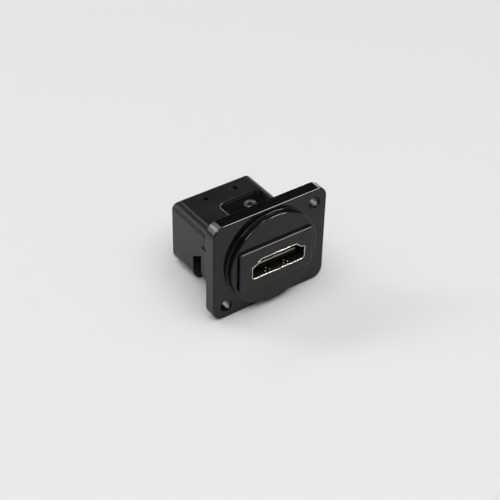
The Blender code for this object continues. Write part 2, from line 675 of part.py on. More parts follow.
def main():
    clear_scene()
    origin = bpy.data.objects.new("socket_origin", None)
    bpy.context.collection.objects.link(origin)
    origin.location = (0.0, -(FRONT_MOUTH + REAR_MOUTH) / 2, -STANDING_LEVEL)

    frame_black = make_material("frame_black", (0.022, 0.022, 0.024), 0.38)
    bezel_black = make_material("bezel_black", (0.020, 0.020, 0.021), 0.34)
    housing_black = make_material("housing_black", (0.026, 0.026, 0.027), 0.42)
    screw_black = make_material("screw_black", (0.03, 0.03, 0.032), 0.3, 1.0)
    shell_metal = make_material("shell_metal", (0.78, 0.76, 0.70), 0.25, 1.0)
    insulator_black = make_material("insulator_black", (0.012, 0.012, 0.012), 0.45)
    contact_gold = make_material("contact_gold", (0.83, 0.62, 0.28), 0.25, 1.0)
    board_black = make_material("board_black", (0.015, 0.02, 0.018), 0.4)

    build_flange_frame(origin, frame_black)
    build_bezel(origin, bezel_black)
    build_rear_housing(origin, housing_black)
    build_screw(origin, screw_black)

    front = Receptacle("front", FRONT_PORT, FRONT_MOUTH, BOARD_FRONT, BOARD_REAR)
    rear = Receptacle("rear", REAR_PORT, REAR_MOUTH, BOARD_REAR, BOARD_FRONT)
    for unit in (front, rear):
        build_shell(unit, origin, shell_metal)
        build_insulator(unit, origin, insulator_black)
        build_contacts(unit, origin, contact_gold)
    build_board((front, rear), origin, board_black)


main()
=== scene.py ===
# %% [markdown]
# # A panel socket for a digital video plug
#
# The real object is a small black connector that a technician bolts into a rack panel.  A flange
# with rounded corners lies on the back of the panel, its round front disc fills the panel's
# cut-out, and a bezel in the disc frames the receptacle.  Behind the flange a boxed housing holds
# a second receptacle.  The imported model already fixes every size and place, so this notebook
# dresses it: it models the outer pieces again with finer edges, gives every piece a finish, and
# lights the scene as a small product photograph.

import math

import bmesh
import bpy
from mathutils import Matrix, Vector


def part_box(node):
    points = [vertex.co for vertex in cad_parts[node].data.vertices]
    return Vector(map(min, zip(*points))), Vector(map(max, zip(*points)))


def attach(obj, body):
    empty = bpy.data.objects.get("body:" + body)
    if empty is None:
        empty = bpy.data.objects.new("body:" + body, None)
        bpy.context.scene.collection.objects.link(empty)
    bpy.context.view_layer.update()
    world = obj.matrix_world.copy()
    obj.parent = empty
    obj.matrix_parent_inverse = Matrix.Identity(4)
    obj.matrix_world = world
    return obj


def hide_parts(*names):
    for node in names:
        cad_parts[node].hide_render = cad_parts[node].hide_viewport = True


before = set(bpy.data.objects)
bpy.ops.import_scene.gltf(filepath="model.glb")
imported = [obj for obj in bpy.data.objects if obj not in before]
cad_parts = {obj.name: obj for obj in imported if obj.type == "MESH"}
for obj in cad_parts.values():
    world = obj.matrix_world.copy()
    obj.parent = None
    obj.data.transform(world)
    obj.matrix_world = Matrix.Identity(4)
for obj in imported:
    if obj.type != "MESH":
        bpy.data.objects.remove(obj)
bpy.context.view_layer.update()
print("packed nodes:", len(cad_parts))

# %% [markdown]
# ## Where things are
#
# The drawing of such a socket starts at the middle of the flange's front face: X to the right, Y
# into the panel, Z up, all in millimetres.  The pieces are modelled in those terms, because that
# is how their sizes are known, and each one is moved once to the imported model's place when it is
# finished.  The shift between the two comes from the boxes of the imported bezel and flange.

# %% The shift to the model's place
MM = 0.001
FLANGE_Z, BEZEL_FACE = 13.0, -2.55

bezel_low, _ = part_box("front_bezel")
flange_low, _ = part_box("flange_frame")
SHIFT = Vector((0.0, bezel_low.y - BEZEL_FACE * MM, flange_low.z + FLANGE_Z * MM))
print("shift in mm:", [round(value / MM, 3) for value in SHIFT])

# %% [markdown]
# ## Helpers for modelling by hand
#
# Each piece starts as a block or a round bar.  Blender adds such a shape where it is asked to,
# and applying the placing at once keeps every object at the origin, unturned and unscaled, so
# that its mesh can be measured in plain drawing terms.

# %% A block and two round bars


def start_clean():
    """Leave edit mode and select nothing."""
    if bpy.context.object and bpy.context.object.mode != "OBJECT":
        bpy.ops.object.mode_set(mode="OBJECT")
    bpy.ops.object.select_all(action="DESELECT")


def take(piece):
    """Make one piece the only selected one and the active one."""
    start_clean()
    piece.select_set(True)
    bpy.context.view_layer.objects.active = piece


def named(name):
    """Name the shape that was just added and apply its placing."""
    piece = bpy.context.object
    piece.name = name
    bpy.ops.object.transform_apply(location=True, rotation=True, scale=True)
    return piece


def block(name, left, right, front, rear, low, high):
    """A block between six limits in millimetres."""
    start_clean()
    middle = ((left + right) / 2 * MM, (front + rear) / 2 * MM, (low + high) / 2 * MM)
    size = ((right - left) * MM, (rear - front) * MM, (high - low) * MM)
    bpy.ops.mesh.primitive_cube_add(size=1, location=middle, scale=size)
    return named(name)


def cylinder(name, x, z, radius, front, rear, sides):
    """A round bar along Y, in millimetres."""
    start_clean()
    bpy.ops.mesh.primitive_cylinder_add(
        vertices=sides, radius=radius * MM, depth=(rear - front) * MM,
        location=(x * MM, (front + rear) / 2 * MM, z * MM), rotation=(math.pi / 2, 0, 0))
    return named(name)


def upright_cylinder(name, x, y, radius, low, high, sides):
    """A round bar along Z, in millimetres."""
    start_clean()
    bpy.ops.mesh.primitive_cylinder_add(
        vertices=sides, radius=radius * MM, depth=(high - low) * MM,
        location=(x * MM, y * MM, (low + high) / 2 * MM))
    return named(name)


print("blocks and round bars are ready")

# %% [markdown]
# A shape is then worked on by the steps that a person would take: open it, select some corners
# or a face by their place, and scale or extrude them.  What to select is given as a small test on
# places in millimetres, which reads like the click it stands for.

# %% Selecting by place and scaling


def open_mesh(piece, kind):
    """Open a piece for editing with nothing selected, and give its mesh."""
    take(piece)
    bpy.ops.object.mode_set(mode="EDIT")
    bpy.ops.mesh.select_mode(type=kind)
    bpy.ops.mesh.select_all(action="DESELECT")
    return bmesh.from_edit_mesh(piece.data)


def select_corners(piece, chosen):
    """Select the corners whose place passes the test."""
    for vert in open_mesh(piece, "VERT").verts:
        vert.select_set(bool(chosen(vert.co / MM)))
    bmesh.update_edit_mesh(piece.data)


def select_farthest_face(piece, measure):
    """Select the one face whose middle has the largest measure."""
    faces = open_mesh(piece, "FACE").faces
    max(faces, key=lambda face: measure(face.calc_center_median())).select_set(True)
    bmesh.update_edit_mesh(piece.data)


def scale_selected(factors, about):
    """Scale what is selected about a place in millimetres."""
    bpy.ops.transform.resize(value=factors, center_override=tuple(value * MM for value in about))


print("selecting and scaling are ready")

# %% [markdown]
# Hardly any edge of a moulded part is sharp, so most steps below round some edges with a bevel.
# An edge is chosen by a test on its two ends.  The kinds that come up again and again have a name:
# edges that run into the panel, upright ones, and those that lie in one plane.

# %% Rounding edges


def round_edges(piece, chosen, width, steps):
    """Bevel the edges whose two ends pass the test."""
    for edge in open_mesh(piece, "EDGE").edges:
        first, second = (vert.co / MM for vert in edge.verts)
        edge.select_set(bool(chosen(first, second)))
    bmesh.update_edit_mesh(piece.data)
    bpy.ops.mesh.bevel(offset=width * MM, segments=steps, affect="EDGES", clamp_overlap=True)
    bpy.ops.object.mode_set(mode="OBJECT")


def along_y(first, second):
    return abs(first.y - second.y) > 0.5


def upright(first, second):
    return abs(first.z - second.z) > 0.1


def in_plane_y(depth):
    return lambda first, second: abs(first.y - depth) < 0.002 and abs(second.y - depth) < 0.002


def in_plane_z(level):
    return lambda first, second: abs(first.z - level) < 0.002 and abs(second.z - level) < 0.002


print("rounding is ready")

# %% [markdown]
# A moulded part is one body with holes through it.  The Boolean modifier joins and cuts closed
# shapes exactly, so each cut below is a tool shape that is used once and thrown away.  A finished
# piece is smoothed up to an angle, so that its wide rounds look round and its faces stay flat.

# %% Joining, cutting and settling
SMOOTH_UP_TO = math.radians(32)


def combine(piece, tool, operation):
    take(piece)
    change = piece.modifiers.new(operation.lower(), "BOOLEAN")
    change.operation = operation
    change.object = tool
    change.solver = "EXACT"
    bpy.ops.object.modifier_apply(modifier=change.name)
    bpy.data.objects.remove(tool)


def fuse(piece, tool):
    combine(piece, tool, "UNION")


def cut(piece, tool):
    combine(piece, tool, "DIFFERENCE")


def settle(piece, material, nodes):
    """Smooth the piece, move its mesh to the model's place, and tie it to what it stands for."""
    take(piece)
    piece.data.materials.clear()
    piece.data.materials.append(material)
    bpy.ops.object.shade_smooth_by_angle(angle=SMOOTH_UP_TO)
    weigh = piece.modifiers.new("weighted normals", "WEIGHTED_NORMAL")
    weigh.keep_sharp = True
    bpy.ops.object.modifier_apply(modifier=weigh.name)
    piece.data.transform(Matrix.Translation(SHIFT))
    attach(piece, "root")
    if nodes:
        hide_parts(*nodes)
    print(piece.name, len(piece.data.polygons), "faces")


print("joining, cutting and settling are ready")

# %% [markdown]
# ## Helpers for the finishes
#
# A finish is a small tree of nodes: patterns that depend on where a point lies on the piece, and
# blends that turn a pattern into a colour or a roughness.  The patterns read the Object
# coordinate, because it belongs to the piece and not to the view.  One helper for each kind of
# node keeps the finishes below short.

# %% Nodes that read the piece


def node_material(name):
    """A new material, its node tree and its shader."""
    material = bpy.data.materials.new(name)
    material.use_nodes = True
    return material, material.node_tree, material.node_tree.nodes["Principled BSDF"]


def place_on_piece(tree):
    return tree.nodes.new("ShaderNodeTexCoord").outputs["Object"]


def split(tree, vector):
    """The X, Y and Z parts of a vector."""
    parts = tree.nodes.new("ShaderNodeSeparateXYZ")
    tree.links.new(vector, parts.inputs["Vector"])
    return parts.outputs


def facing(tree):
    """The X, Y and Z parts of the direction that a face looks in."""
    return split(tree, tree.nodes.new("ShaderNodeNewGeometry").outputs["True Normal"])


def noise_texture(tree, place, scale, detail):
    noise = tree.nodes.new("ShaderNodeTexNoise")
    noise.inputs["Scale"].default_value = scale
    noise.inputs["Detail"].default_value = detail
    tree.links.new(place, noise.inputs["Vector"])
    return noise.outputs["Fac"]


print("reading a piece is ready")

# %% [markdown]
# What such a node reads is a plain number at each point.  A ramp stretches the part of its range
# that matters, and a blend or a bump turns it into something that can be seen.

# %% Nodes that turn a pattern into a look


def ramp(tree, source, low, high, low_at=0.35, high_at=0.65):
    """Go from low to high while the source goes from low_at to high_at."""
    spread = tree.nodes.new("ShaderNodeMapRange")
    spread.inputs["From Min"].default_value = low_at
    spread.inputs["From Max"].default_value = high_at
    spread.inputs["To Min"].default_value = low
    spread.inputs["To Max"].default_value = high
    tree.links.new(source, spread.inputs["Value"])
    return spread.outputs["Result"]


def calculate(tree, operation, *sources):
    node = tree.nodes.new("ShaderNodeMath")
    node.operation = operation
    for socket, source in zip(node.inputs, sources):
        tree.links.new(source, socket)
    return node.outputs["Value"]


def blend(tree, factor, first, second):
    """Mix two colours, each one a constant or what another node gives."""
    mix = tree.nodes.new("ShaderNodeMix")
    mix.data_type = "RGBA"
    tree.links.new(factor, mix.inputs["Factor"])
    for letter, colour in (("A", first), ("B", second)):
        if isinstance(colour, tuple):
            mix.inputs[letter].default_value = (*colour, 1)
        else:
            tree.links.new(colour, mix.inputs[letter])
    return mix.outputs["Result"]


def bump(tree, shader, height, strength, depth):
    """Raise a pattern by a very small depth, and give the node for further links."""
    relief = tree.nodes.new("ShaderNodeBump")
    relief.inputs["Strength"].default_value = strength
    relief.inputs["Distance"].default_value = depth
    tree.links.new(height, relief.inputs["Height"])
    tree.links.new(relief.outputs["Normal"], shader.inputs["Normal"])
    return relief


print("ramps, blends and bumps are ready")

# %% [markdown]
# ## Black plastic
#
# The black plastic is what makes or breaks this picture.  It has hardly any colour of its own:
# nearly all that the eye sees on it is the pale table, reflected in a satin skin.  So the base
# colour stays close to black, the roughness is broken up by a slow noise, and a very fine noise
# gives the grain that a spark-eroded mould leaves.  A Bevel node softens the sharp edges for the
# light only, as the tiny radius on every moulded edge does.

# %% Black moulded plastic
DRIFT_SCALE, GLOSS_SCALE, GRAIN_SCALE = 260, 700, 9000
GRAIN_DEPTH, PLASTIC_IOR = 0.00002, 1.37


def moulded_black(name, colour, worn, roughness, grain, edge):
    """Satin black plastic: two blacks that drift, broken gloss, fine grain, softened edges."""
    material, tree, shader = node_material(name)
    place = place_on_piece(tree)
    drift = noise_texture(tree, place, DRIFT_SCALE, 3)
    tree.links.new(blend(tree, ramp(tree, drift, 0, 1), colour, worn), shader.inputs["Base Color"])
    gloss = noise_texture(tree, place, GLOSS_SCALE, 5)
    tree.links.new(ramp(tree, gloss, *roughness), shader.inputs["Roughness"])
    skin = bump(tree, shader, noise_texture(tree, place, GRAIN_SCALE, 2), grain, GRAIN_DEPTH)
    soft = tree.nodes.new("ShaderNodeBevel")
    soft.samples = 6
    soft.inputs["Radius"].default_value = edge * MM
    tree.links.new(soft.outputs["Normal"], skin.inputs["Normal"])
    shader.inputs["IOR"].default_value = PLASTIC_IOR
    return material


flange_black = moulded_black(
    "flange_black", (0.0030, 0.0030, 0.0032), (0.0050, 0.0050, 0.0053),
    roughness=(0.10, 0.15), grain=0.06, edge=0.05)
bezel_black = moulded_black(
    "bezel_black", (0.0035, 0.0035, 0.0038), (0.0060, 0.0060, 0.0063),
    roughness=(0.28, 0.38), grain=0.20, edge=0.05)
housing_black = moulded_black(
    "housing_black", (0.0060, 0.0060, 0.0063), (0.0100, 0.0100, 0.0104),
    roughness=(0.30, 0.38), grain=0.25, edge=0.06)
insulator_black = moulded_black(
    "insulator_black", (0.0060, 0.0056, 0.0036), (0.0100, 0.0094, 0.0062),
    roughness=(0.55, 0.7), grain=0.3, edge=0.03)
print("three moulded blacks and the insulator")

# %% [markdown]
# Two places get a painted highlight: a lighter colour stands in for the light that catches the
# sloping front edge of the tongue, which is also made shinier, and the shallow rim on the left of
# the strap's recess.  Both are found by the way their faces lean: the product of two parts of the
# face's direction is large only on a slope that leans that way.

# %% Painted highlights on two edges
# The painted highlight on the tongue's front slope: which slope, and its lighter colour.
TONGUE_HIGHLIGHT_SLOPE, TONGUE_PAINTED_HIGHLIGHT = (0.3, 0.4), (0.22, 0.205, 0.195)
# The painted highlight on the recess's left rim: which slope, its lighter colour, and where it
# fades out.
RIM_HIGHLIGHT_SLOPE, RIM_PAINTED_HIGHLIGHT = (0.10, 0.20), (0.15, 0.15, 0.152)
RIM_HIGHLIGHT_FADE = (-1.5 * MM, -1.0 * MM)


def paint_highlight(tree, shader, amount, colour):
    """Blend the colour that the shader has towards a lighter one, as a painted highlight."""
    own = shader.inputs["Base Color"].links[0].from_socket
    tree.links.new(blend(tree, amount, own, colour), shader.inputs["Base Color"])


def paint_tongue_edge_highlight(material):
    """The slope at the front of the tongue is shinier and painted lighter as a highlight, and the
    rest stays dull.
    """
    tree = material.node_tree
    shader = tree.nodes["Principled BSDF"]
    direction = facing(tree)
    slope = calculate(tree, "MULTIPLY", calculate(tree, "ABSOLUTE", direction["Y"]),
                      direction["Z"])
    tree.links.new(ramp(tree, slope, 0, 0.6, *TONGUE_HIGHLIGHT_SLOPE), shader.inputs["Specular IOR Level"])
    tree.links.new(ramp(tree, slope, 0.6, 0.3, *TONGUE_HIGHLIGHT_SLOPE), shader.inputs["Roughness"])
    paint_highlight(tree, shader, ramp(tree, slope, 0, 1, *TONGUE_HIGHLIGHT_SLOPE), TONGUE_PAINTED_HIGHLIGHT)


def paint_recess_rim_highlight(material):
    """Only faces that lean to the right, and only on the left of the recess, get the painted
    highlight.
    """
    tree = material.node_tree
    shader = tree.nodes["Principled BSDF"]
    direction = facing(tree)
    slope = calculate(tree, "MULTIPLY", direction["X"], direction["Z"])
    on_the_left = ramp(tree, split(tree, place_on_piece(tree))["X"], 1, 0, *RIM_HIGHLIGHT_FADE)
    amount = calculate(tree, "MULTIPLY", ramp(tree, slope, 0, 1, *RIM_HIGHLIGHT_SLOPE), on_the_left)
    paint_highlight(tree, shader, amount, RIM_PAINTED_HIGHLIGHT)


# Painted highlights: the tongue's front slope and the left rim of the recess are painted lighter,
# and the print names them.
paint_tongue_edge_highlight(insulator_black)
paint_recess_rim_highlight(housing_black)
print("rubbed: the tongue's edge and the rim of the recess")

# %% [markdown]
# ## Metals
#
# The receptacle's shell is thin steel with a nickel plate, slightly warm, with the faint lines of
# the rolled sheet along its depth.  Only the lip at the mouth keeps that colour: deeper in, the
# sleeve gets painted shade, a dark base colour that is no longer a metal to the shader.  The
# corners and dimples of the spring fingers get a nickel of their own, with a paler painted shade
# on the dimples, which lie deeper.  The blackened screw gets painted shade by the same means, with
# the height in place of the depth: its socket and the faces that don't look up are painted near
# black.  The contacts are gold plated.

# %% Plated metals
PATCH_SCALE, ROLLED_SCALE, ROLLED_DEPTH = 500, 6000, 0.00001
ROLLED_STRETCH = (1, 0.06, 1)
# The colour of the painted shade in the port's sleeves, how far it fades in, and which faces count
# as looking up.
PORT_PAINTED_SHADE, PAINTED_SHADE_FADE, LOOKS_UP = (0.012, 0.0112, 0.0072), 0.10, (0.25, 0.35)


def plated_metal(name, colour, dulled, roughness, lines, bright_from=None, axis="Y", deep=PORT_PAINTED_SHADE):
    """Metal that dulls in patches and, where asked, has painted shade up to a distance on one
    axis.
    """
    material, tree, shader = node_material(name)
    shader.inputs["Metallic"].default_value = 1.0
    place = place_on_piece(tree)
    patches = noise_texture(tree, place, PATCH_SCALE, 3)
    base = blend(tree, ramp(tree, patches, 0, 1), colour, dulled)
    # Painted shade: nearer than bright_from to zero along the axis, and on the Z axis also on
    # faces that don't look up, the colour turns dark and the metal stops being a metal.
    if bright_from is not None:
        reach = calculate(tree, "ABSOLUTE", split(tree, place)[axis])
        bright = ramp(tree, reach, 0, 1, bright_from * MM, (bright_from + PAINTED_SHADE_FADE) * MM)
        if axis == "Z":
            upwards = ramp(tree, facing(tree)["Z"], 0, 1, *LOOKS_UP)
            bright = calculate(tree, "MULTIPLY", bright, upwards)
        tree.links.new(bright, shader.inputs["Metallic"])
        base = blend(tree, bright, deep, base)
    tree.links.new(base, shader.inputs["Base Color"])
    stretch = tree.nodes.new("ShaderNodeMapping")
    stretch.inputs["Scale"].default_value = ROLLED_STRETCH
    tree.links.new(place, stretch.inputs["Vector"])
    rolled = noise_texture(tree, stretch.outputs["Vector"], ROLLED_SCALE, 2)
    tree.links.new(ramp(tree, rolled, *roughness), shader.inputs["Roughness"])
    bump(tree, shader, rolled, lines, ROLLED_DEPTH)
    return material


# Painted shade: only the lip of each sleeve keeps the nickel colour; deeper in, the sleeve is
# painted dark.
nickel = plated_metal("nickel_plate", (0.66, 0.64, 0.59), (0.52, 0.50, 0.45),
                      roughness=(0.16, 0.30), lines=0.3, bright_from=13.0)
# Painted shade: the dimples, deeper in the port than the corners, are painted a paler dark.
polished = plated_metal("polished_nickel", (0.50, 0.49, 0.46), (0.42, 0.41, 0.38),
                        roughness=(0.22, 0.34), lines=0.2, bright_from=12.1,
                        deep=(0.10, 0.097, 0.088))
gold = plated_metal("gold_plate", (0.85, 0.62, 0.27), (0.72, 0.50, 0.20),
                    roughness=(0.18, 0.32), lines=0.2)
# Painted shade: below the head's top, and on every face that doesn't look up, the screw is painted
# near black and is no metal, so its socket reads as a dark hole.
screw_steel = plated_metal("blackened_steel", (0.14, 0.14, 0.145), (0.085, 0.085, 0.09),
                           roughness=(0.25, 0.38), lines=0.3, bright_from=17.70, axis="Z",
                           deep=(0.002, 0.002, 0.002))
print("four metals")

# %% [markdown]
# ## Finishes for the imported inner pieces
#
# The contacts, the insulators and the board are right as they are: small, straight and mostly in
# the dark of the port.  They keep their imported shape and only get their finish.  The board's
# solder mask is a coat of dark green varnish, so the recipe for the black plastic serves it too.

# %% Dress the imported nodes
solder_mask = moulded_black("solder_mask", (0.004, 0.009, 0.007), (0.006, 0.013, 0.010),
                            roughness=(0.28, 0.4), grain=0.15, edge=0.03)


def finish_of(name):
    """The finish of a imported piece, or nothing for one that is modelled again below."""
    if "_contact_" in name:
        return gold
    if name.endswith("_insulator"):
        return insulator_black
    return solder_mask if name == "link_board" else None


dressed = 0
for name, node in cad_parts.items():
    finish = finish_of(name)
    if finish is None:
        continue
    if not node.material_slots:
        node.data.materials.append(finish)
    for place in node.material_slots:
        place.material = finish
    dressed += 1
print("dressed nodes:", dressed)

# %% [markdown]
# ## The port's outline
#
# The opening has a wide floor, short upright sides, two shoulders and a narrower roof.  One block
# can't have that outline, but its top face can be extruded twice and drawn in each time, as the
# profile is drawn in a press.  The same recipe makes the shell, its hollow and every window, each
# a little larger than the last, so the sizes of a grown outline are worked out first.  The roof is
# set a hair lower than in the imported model, which brings the bright lip nearer to the picture.

# %% Levels of a grown outline
PORT_HALF, PORT_FLOOR, PORT_ROOF = 7.2, -2.425, 2.37
SIDE_TOP, SHOULDER_HALF, SHOULDER_Z, ROOF_HALF = 0.775, 6.0, 1.275, 4.85


def grown_levels(grow):
    """Half width and height of the outline's four levels when each side moves out by grow."""
    corners = [(PORT_HALF, PORT_FLOOR), (PORT_HALF, SIDE_TOP), (SHOULDER_HALF, SHOULDER_Z),
               (ROOF_HALF, PORT_ROOF), (0.0, PORT_ROOF)]
    normals = []
    for (x0, z0), (x1, z1) in zip(corners, corners[1:]):
        length = math.hypot(x1 - x0, z1 - z0)
        normals.append(((z1 - z0) / length, -(x1 - x0) / length))
    levels = [(PORT_HALF + grow, PORT_FLOOR - grow)]
    for (x, z), (ax, az), (bx, bz) in zip(corners[1:4], normals, normals[1:]):
        share = grow / (1 + ax * bx + az * bz)
        levels.append((x + share * (ax + bx), z + share * (az + bz)))
    return levels


print("levels of the opening:", [tuple(round(v, 2) for v in level) for level in grown_levels(0)])

# %% A block with the port's outline
PORT_CORNER, PORT_STEPS = 0.7, 6


def port_block(name, centre, grow, front, rear):
    """A block with the port's outline, grown on all sides, round a centre in X and Z."""
    levels = grown_levels(grow)
    half, low = levels[0]
    x, z = centre
    piece = block(name, x - half, x + half, front, rear, z + low, z + levels[1][1])
    select_farthest_face(piece, lambda middle: middle.z)
    width = half
    for (_, last_z), (next_half, next_z) in zip(levels[1:], levels[2:]):
        bpy.ops.mesh.extrude_region_move(
            TRANSFORM_OT_translate={"value": (0, 0, (next_z - last_z) * MM)})
        scale_selected((next_half / width, 1, 1), (x, 0, 0))
        width = next_half
    bpy.ops.object.mode_set(mode="OBJECT")
    bottom = z + low
    round_edges(piece, lambda a, b: along_y(a, b) and abs(a.z - bottom) < 0.01,
                PORT_CORNER + grow, PORT_STEPS)
    return piece


print("the port's block is ready")

# %% [markdown]
# ## The flange frame
#
# Flange, disc, the neck behind it and the strap on top are one moulding.  The flange is a block
# whose four corners are rounded first and whose front and rear rims are then softened, because a
# bevel follows what is already there.  The disc starts as a wide, thin bar whose front face is
# extruded and drawn in, which leaves a small fillet at its foot.

# %% Flange and disc
FLANGE_X, FLANGE_Y, FLANGE_CORNER = 15.5, 3.1, 2.8
DISC_RADIUS, DISC_FACE, DISC_FOOT, DISC_SIDES = 11.85, -1.75, 0.22, 160
DISC_STEPS = ((0.07, 0.06), (0.0, 0.14), (0.0, 1.549))

flange = block("flange_moulding", -FLANGE_X, FLANGE_X, 0, FLANGE_Y, -FLANGE_Z, FLANGE_Z)
round_edges(flange, along_y, FLANGE_CORNER, 14)
round_edges(flange, in_plane_y(0), 0.35, 4)
round_edges(flange, in_plane_y(FLANGE_Y), 0.1, 2)

disc = cylinder("disc_tool", 0, 0, DISC_RADIUS + DISC_FOOT, -0.001, 1.5, DISC_SIDES)
select_farthest_face(disc, lambda middle: -middle.y)
radius = DISC_RADIUS + DISC_FOOT
for wider, step in DISC_STEPS:
    bpy.ops.mesh.extrude_region_move(TRANSFORM_OT_translate={"value": (0, -step * MM, 0)})
    share = (DISC_RADIUS + wider) / radius
    scale_selected((share, 1, share), (0, 0, 0))
    radius = DISC_RADIUS + wider
bpy.ops.object.mode_set(mode="OBJECT")
round_edges(disc, in_plane_y(DISC_FACE), 0.3, 4)
fuse(flange, disc)
print("flange and disc:", len(flange.data.polygons), "faces")

# %% [markdown]
# Behind the flange the neck carries on as a box with the same rounded edges as the housing.  Its
# lower part reaches one millimetre further back than its upper part, so the joint line on the
# side is stepped.  A thin raised tab lies on each side of it.

# %% Neck and tabs
BODY_X, BODY_HIGH, TOP_CORNER, LOW_CORNER = 11.15, 4.6, 2.0, 3.3
NECK_LOW, FRAME_REAR, LOWER_REAR = -9.1, 10.4, 11.4
TAB_X, TAB_REAR, TAB_LOW, TAB_HIGH, TAB_CORNER = 11.55, 11.05, -8.2, -0.2, 1.3
OVERLAP = 0.3


def on_side(side, inner, outer):
    """The left and right limits of a form on one side, given for the right side."""
    return sorted((side * inner, side * outer))


neck = block("neck_tool", -BODY_X, BODY_X, FLANGE_Y - OVERLAP, FRAME_REAR, NECK_LOW, BODY_HIGH)
round_edges(neck, lambda a, b: along_y(a, b) and a.z > 0, TOP_CORNER, 12)
round_edges(neck, lambda a, b: along_y(a, b) and a.z < 0, LOW_CORNER, 14)
fuse(flange, neck)
lower = block("lower_neck_tool", -BODY_X, BODY_X, FRAME_REAR - OVERLAP, LOWER_REAR, NECK_LOW,
              TAB_HIGH)
round_edges(lower, lambda a, b: along_y(a, b) and a.z < -9, LOW_CORNER, 14)
fuse(flange, lower)
for side in (-1, 1):
    tab = block("tab_tool", *on_side(side, BODY_X - OVERLAP, TAB_X), FLANGE_Y - OVERLAP, TAB_REAR,
                TAB_LOW, TAB_HIGH)
    round_edges(tab, lambda a, b: min(a.y, b.y) > 11 and max(a.z, b.z) < -8, TAB_CORNER, 8)
    round_edges(tab, lambda a, b: min(a.y, b.y) > 11 and min(a.z, b.z) > -1, 0.1, 2)
    round_edges(tab, lambda a, b: min(side * a.x, side * b.x) > TAB_X - 0.01, 0.12, 3)
    fuse(flange, tab)
print("with neck and tabs:", len(flange.data.polygons), "faces")

# %% [markdown]
# The neck is hollow, and two guides reach from it into the housing's cavity.  The strap lies on
# top, with two round corners at its free end.

# %% Guides, hollow and strap
WALL, SLIDE_GAP, GUIDE_WALL = 1.2, 0.12, 0.9
CAVITY_X = BODY_X - WALL
GUIDE_X = CAVITY_X - SLIDE_GAP - GUIDE_WALL
GUIDE_REAR, GUIDE_LOW, GUIDE_HIGH = 11.1, -4.44, 2.56
STRAP_LEFT, STRAP_RIGHT, STRAP_END, STRAP_LOW, STRAP_HIGH = -2.65, 8.85, 17.05, 3.5, 4.2

for side in (-1, 1):
    fuse(flange, block("guide_tool", *on_side(side, CAVITY_X - SLIDE_GAP, GUIDE_X),
                       FRAME_REAR - OVERLAP, GUIDE_REAR, GUIDE_LOW, GUIDE_HIGH))
cut(flange, block("hollow_tool", -GUIDE_X, GUIDE_X, FLANGE_Y, 13, NECK_LOW + 1.5, 3.1))
strap = block("strap_tool", STRAP_LEFT, STRAP_RIGHT, FRAME_REAR - 1, STRAP_END, STRAP_LOW,
              STRAP_HIGH)
round_edges(strap, lambda a, b: upright(a, b) and a.y > 17, 1.7, 10)
fuse(flange, strap)
print("with guides and strap:", len(flange.data.polygons), "faces")

# %% [markdown]
# The last cuts in the frame are the pocket for the bezel, the window that the receptacle comes
# through, the two holes for the panel's screws in opposite corners, and the hole in the strap.

# %% Pocket, window and holes
POCKET_X, POCKET_Z, POCKET_REAR = 10.2, 5.4, 1.65
FRONT_PORT, WINDOW_GROW = (0.5, -0.2), 0.45
HOLE_X, HOLE_Z, HOLE_RADIUS = 12, 9.5, 1.6
SCREW_X, SCREW_Y, SCREW_BORE = 3.7, 13.3, 0.85

pocket = block("pocket_tool", -POCKET_X, POCKET_X, -4, POCKET_REAR, -POCKET_Z, POCKET_Z)
round_edges(pocket, along_y, 0.75, 6)
cut(flange, pocket)
cut(flange, port_block("window_tool", FRONT_PORT, WINDOW_GROW, 0, 4.1))
for side in (-1, 1):
    cut(flange, cylinder("hole_tool", side * HOLE_X, side * HOLE_Z, HOLE_RADIUS, -1, 12.4, 64))
cut(flange, upright_cylinder("strap_hole_tool", SCREW_X, SCREW_Y, SCREW_BORE, 2, 6, 40))
settle(flange, flange_black, ["flange_frame"])

# %% [markdown]
# ## The bezel
#
# The bezel is a separate block that snaps into a pocket of the disc and stands a little proud of
# it.  Its rounded front rim is what draws the bright line along its top in the picture.  The
# window in it has the port's outline, grown by the shell's sheet and a small gap.

# %% Bezel
BEZEL_X, BEZEL_Z, BEZEL_REAR = 10.05, 5.25, 1.5
SHEET = 0.2

bezel = block("bezel_moulding", -BEZEL_X, BEZEL_X, BEZEL_FACE, BEZEL_REAR, -BEZEL_Z, BEZEL_Z)
round_edges(bezel, along_y, 0.6, 8)
round_edges(bezel, in_plane_y(BEZEL_FACE), 0.3, 5)
cut(bezel, port_block("bezel_window_tool", FRONT_PORT, SHEET + 0.06, -4, 3))
settle(bezel, bezel_black, ["front_bezel"])

# %% [markdown]
# ## The rear housing
#
# The housing is a cup with a low lid on its top, whose left and rear edges slope.  The slope is
# what draws the soft bright line along the housing's upper left edge in the picture.  A block with
# its top corners drawn in makes the lid, because a bevel would give the same width everywhere.

# %% Housing block and lid
BODY_LOW, HOUSING_FRONT, HOUSING_REAR = -13.0, 10.52, 24.0
LID_RISE, LID_TALL, LID_REAR_SLOPE = 0.40, 0.7, 0.5
LID_RIGHT, LID_LEFT, LID_FOOT, LID_REAR = 9.20, -8.80, -9.94, HOUSING_REAR - 0.3

housing = block("housing_moulding", -BODY_X, BODY_X, HOUSING_FRONT, HOUSING_REAR,
                BODY_LOW, BODY_HIGH - LID_RISE)
round_edges(housing, lambda a, b: along_y(a, b) and a.z > 0, TOP_CORNER - LID_RISE, 12)
round_edges(housing, lambda a, b: along_y(a, b) and a.z < 0, LOW_CORNER, 14)
round_edges(housing, in_plane_y(HOUSING_REAR), 0.4, 5)

